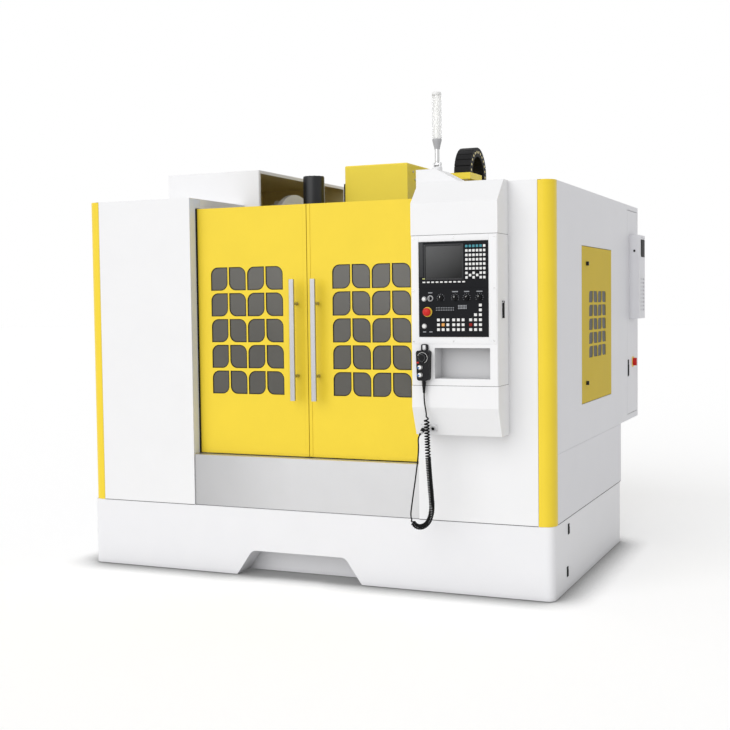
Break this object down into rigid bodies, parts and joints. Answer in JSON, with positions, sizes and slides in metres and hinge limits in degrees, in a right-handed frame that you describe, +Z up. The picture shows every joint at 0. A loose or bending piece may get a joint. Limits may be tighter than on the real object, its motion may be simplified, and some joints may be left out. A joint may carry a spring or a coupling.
{
  "type": "cnc machining center",
  "caption": "Enclosed vertical machining center with sliding front doors, operator console, tool magazine with swap arm, T-slot table, column and roof lamp.",
  "frame": {"origin": "on the floor, under the middle of the machine's width", "axes": "+X to the operator's right along the front, +Y from the operator to the back, +Z up"},
  "size_m": [2.766, 2.4089, 2.545],
  "materials": {
    "yellow_paint": "gloss",
    "white_paint": "satin",
    "grey_paint": "satin",
    "base_paint": "satin",
    "silver_paint": "satin",
    "cast_paint": "satin",
    "bare_steel": "brushed",
    "dark_window": "gloss",
    "black_metal": "satin",
    "black_plastic": "matte",
    "pendant_plastic": "matte",
    "red_plastic": "gloss",
    "lamp_plastic": "gloss",
    "cord_rubber": "matte"
  },
  "bodies": {
    "machine": {"levelling_feet": "bare_steel", "bed_casting": "cast_paint", "base_skirt": "base_paint", "column_casting": "yellow_paint", "electrical_cabinet": "grey_paint", "drive_plate": "bare_steel", "left_front_panel": "white_paint", "right_front_panel": "white_paint", "corner_trims": "yellow_paint", "left_side_panel": "grey_paint", "right_side_panel": "grey_paint", "rear_panel": "grey_paint", "front_apron": "silver_paint", "top_frame": "white_paint", "work_zone_guard": "silver_paint", "console_housing": "white_paint", "magazine_housing": "white_paint", "changer_gearbox": "cast_paint", "changer_motor": "black_metal", "cable_chain": "black_plastic", "linear_rails": "bare_steel", "axis_motors": "black_metal", "pendant_socket": "bare_steel", "pendant_lead": "cord_rubber", "pendant_coil": "cord_rubber", "pendant_tail": "cord_rubber"},
    "saddle": {"saddle": "cast_paint"},
    "table": {"table": "bare_steel"},
    "x_screw": {"x_ball_screw": "bare_steel"},
    "y_screw": {"y_ball_screw": "bare_steel"},
    "z_screw": {"z_ball_screw": "bare_steel"},
    "headstock": {"head_casting": "cast_paint", "head_cover": "yellow_paint"},
    "spindle": {"spindle": "bare_steel"},
    "left_door": {"left_door": "yellow_paint", "left_window": "dark_window", "left_handle": "bare_steel"},
    "right_door": {"right_door": "yellow_paint", "right_window": "dark_window", "right_handle": "bare_steel"},
    "tool_disc": {"tool_disc": "cast_paint"},
    "tool_pot": {"tool_pot": "black_metal"},
    "changer_sleeve": {"changer_sleeve": "bare_steel"},
    "changer_arm": {"changer_arm": "bare_steel"},
    "console_door": {"console_door": "white_paint", "control_panel": "black_metal", "pendant": "pendant_plastic"},
    "console_lock": {"console_lock": "black_metal"},
    "estop_button": {"estop_button": "red_plastic"},
    "start_button": {"start_button": "black_plastic"},
    "mode_knob": {"mode_knob": "black_plastic"},
    "feed_knob": {"feed_knob": "black_plastic"},
    "pendant_dial": {"pendant_dial": "black_plastic"},
    "side_door": {"side_door": "yellow_paint"},
    "side_latch_upper": {"side_latch_upper": "black_metal"},
    "side_latch_lower": {"side_latch_lower": "black_metal"},
    "cabinet_door": {"cabinet_door": "grey_paint", "heat_exchanger": "grey_paint"},
    "main_switch": {"main_switch": "red_plastic"},
    "signal_lamp": {"signal_lamp": "lamp_plastic"}
  },
  "joints": [
    {"name": "left_door_slide", "type": "slide", "parent": "machine", "child": "left_door", "axis": [-1, 0, 0], "range_m": [0, 0.55]},
    {"name": "right_door_slide", "type": "slide", "parent": "machine", "child": "right_door", "axis": [1, 0, 0], "range_m": [0, 0.52]},
    {"name": "saddle_slide", "type": "slide", "parent": "machine", "child": "saddle", "axis": [0, 1, 0], "range_m": [-0.25, 0.25]},
    {"name": "table_slide", "type": "slide", "parent": "saddle", "child": "table", "axis": [1, 0, 0], "range_m": [-0.4, 0.4]},
    {"name": "head_slide", "type": "slide", "parent": "machine", "child": "headstock", "axis": [0, 0, 1], "range_m": [-0.5, 0], "deforming": ["cable_chain"]},
    {"name": "spindle_spin", "type": "hinge", "parent": "headstock", "child": "spindle", "pos_m": [0, 0.15, 1.46], "axis": [0, 0, 1], "continuous": true},
    {"name": "x_screw_spin", "type": "hinge", "parent": "saddle", "child": "x_screw", "pos_m": [0, 0.15, 0.7], "axis": [1, 0, 0], "range_deg": [-9005, 9005]},
    {"name": "y_screw_spin", "type": "hinge", "parent": "machine", "child": "y_screw", "pos_m": [0, 0, 0.53], "axis": [0, 1, 0], "range_deg": [-5630, 5630]},
    {"name": "z_screw_spin", "type": "hinge", "parent": "machine", "child": "z_screw", "pos_m": [0, 0.66, 1.5], "axis": [0, 0, 1], "range_deg": [-11255, 0]},
    {"name": "magazine_spin", "type": "hinge", "parent": "machine", "child": "tool_disc", "pos_m": [-0.625, 0.15, 1.83], "axis": [1, 0, 0], "continuous": true},
    {"name": "pot_tilt", "type": "hinge", "parent": "tool_disc", "child": "tool_pot", "pos_m": [-0.625, 0.15, 1.555], "axis": [0, -1, 0], "range_deg": [0, 90]},
    {"name": "changer_lift", "type": "slide", "parent": "machine", "child": "changer_sleeve", "axis": [0, 0, 1], "range_m": [-0.11, 0]},
    {"name": "changer_swing", "type": "hinge", "parent": "changer_sleeve", "child": "changer_arm", "pos_m": [-0.3125, 0.15, 1.425], "axis": [0, 0, 1], "range_deg": [0, 180]},
    {"name": "console_door_hinge", "type": "hinge", "parent": "machine", "child": "console_door", "pos_m": [0.691, -1.041, 1.4335], "axis": [0, 0, 1], "range_deg": [-90, 0]},
    {"name": "console_lock_turn", "type": "hinge", "parent": "console_door", "child": "console_lock", "pos_m": [1.1334, -1.136, 1.474], "axis": [0, -1, 0], "range_deg": [0, 60]},
    {"name": "estop_press", "type": "slide", "parent": "console_door", "child": "estop_button", "axis": [0, 1, 0], "range_m": [0, 0.005], "stiffness_N_per_m": 900},
    {"name": "start_button_press", "type": "slide", "parent": "console_door", "child": "start_button", "axis": [0, 1, 0], "range_m": [0, 0.003], "stiffness_N_per_m": 400},
    {"name": "mode_knob_turn", "type": "hinge", "parent": "console_door", "child": "mode_knob", "pos_m": [0.842, -1.214, 1.494], "axis": [0, 1, 0], "range_deg": [-100, 100]},
    {"name": "feed_knob_turn", "type": "hinge", "parent": "console_door", "child": "feed_knob", "pos_m": [0.915, -1.214, 1.494], "axis": [0, 1, 0], "range_deg": [-135, 135]},
    {"name": "pendant_dial_spin", "type": "hinge", "parent": "console_door", "child": "pendant_dial", "pos_m": [0.757, -1.25, 1.205], "axis": [0, 1, 0], "continuous": true},
    {"name": "side_door_hinge", "type": "hinge", "parent": "machine", "child": "side_door", "pos_m": [1.346, 0.311, 1.343], "axis": [0, 0, 1], "range_deg": [0, 110]},
    {"name": "side_latch_upper_turn", "type": "hinge", "parent": "side_door", "child": "side_latch_upper", "pos_m": [1.342, -0.323, 1.67], "axis": [1, 0, 0], "range_deg": [0, 90]},
    {"name": "side_latch_lower_turn", "type": "hinge", "parent": "side_door", "child": "side_latch_lower", "pos_m": [1.342, -0.323, 1.03], "axis": [1, 0, 0], "range_deg": [0, 90]},
    {"name": "cabinet_door_hinge", "type": "hinge", "parent": "machine", "child": "cabinet_door", "pos_m": [1.346, 1.113, 1.393], "axis": [0, 0, 1], "range_deg": [0, 110]},
    {"name": "main_switch_turn", "type": "hinge", "parent": "cabinet_door", "child": "main_switch", "pos_m": [1.362, 0.98, 1.079], "axis": [1, 0, 0], "range_deg": [0, 90]},
    {"name": "lamp_fold", "type": "hinge", "parent": "machine", "child": "signal_lamp", "pos_m": [0.706, -0.87, 2.178], "axis": [-1, 0, 0], "range_deg": [0, 90]}
  ],
  "couplings": [
    {"joint": "x_screw_spin", "follows": "table_slide", "rad_per_m": 392.7},
    {"joint": "y_screw_spin", "follows": "saddle_slide", "rad_per_m": 392.7},
    {"joint": "z_screw_spin", "follows": "head_slide", "rad_per_m": 392.7}
  ]
}
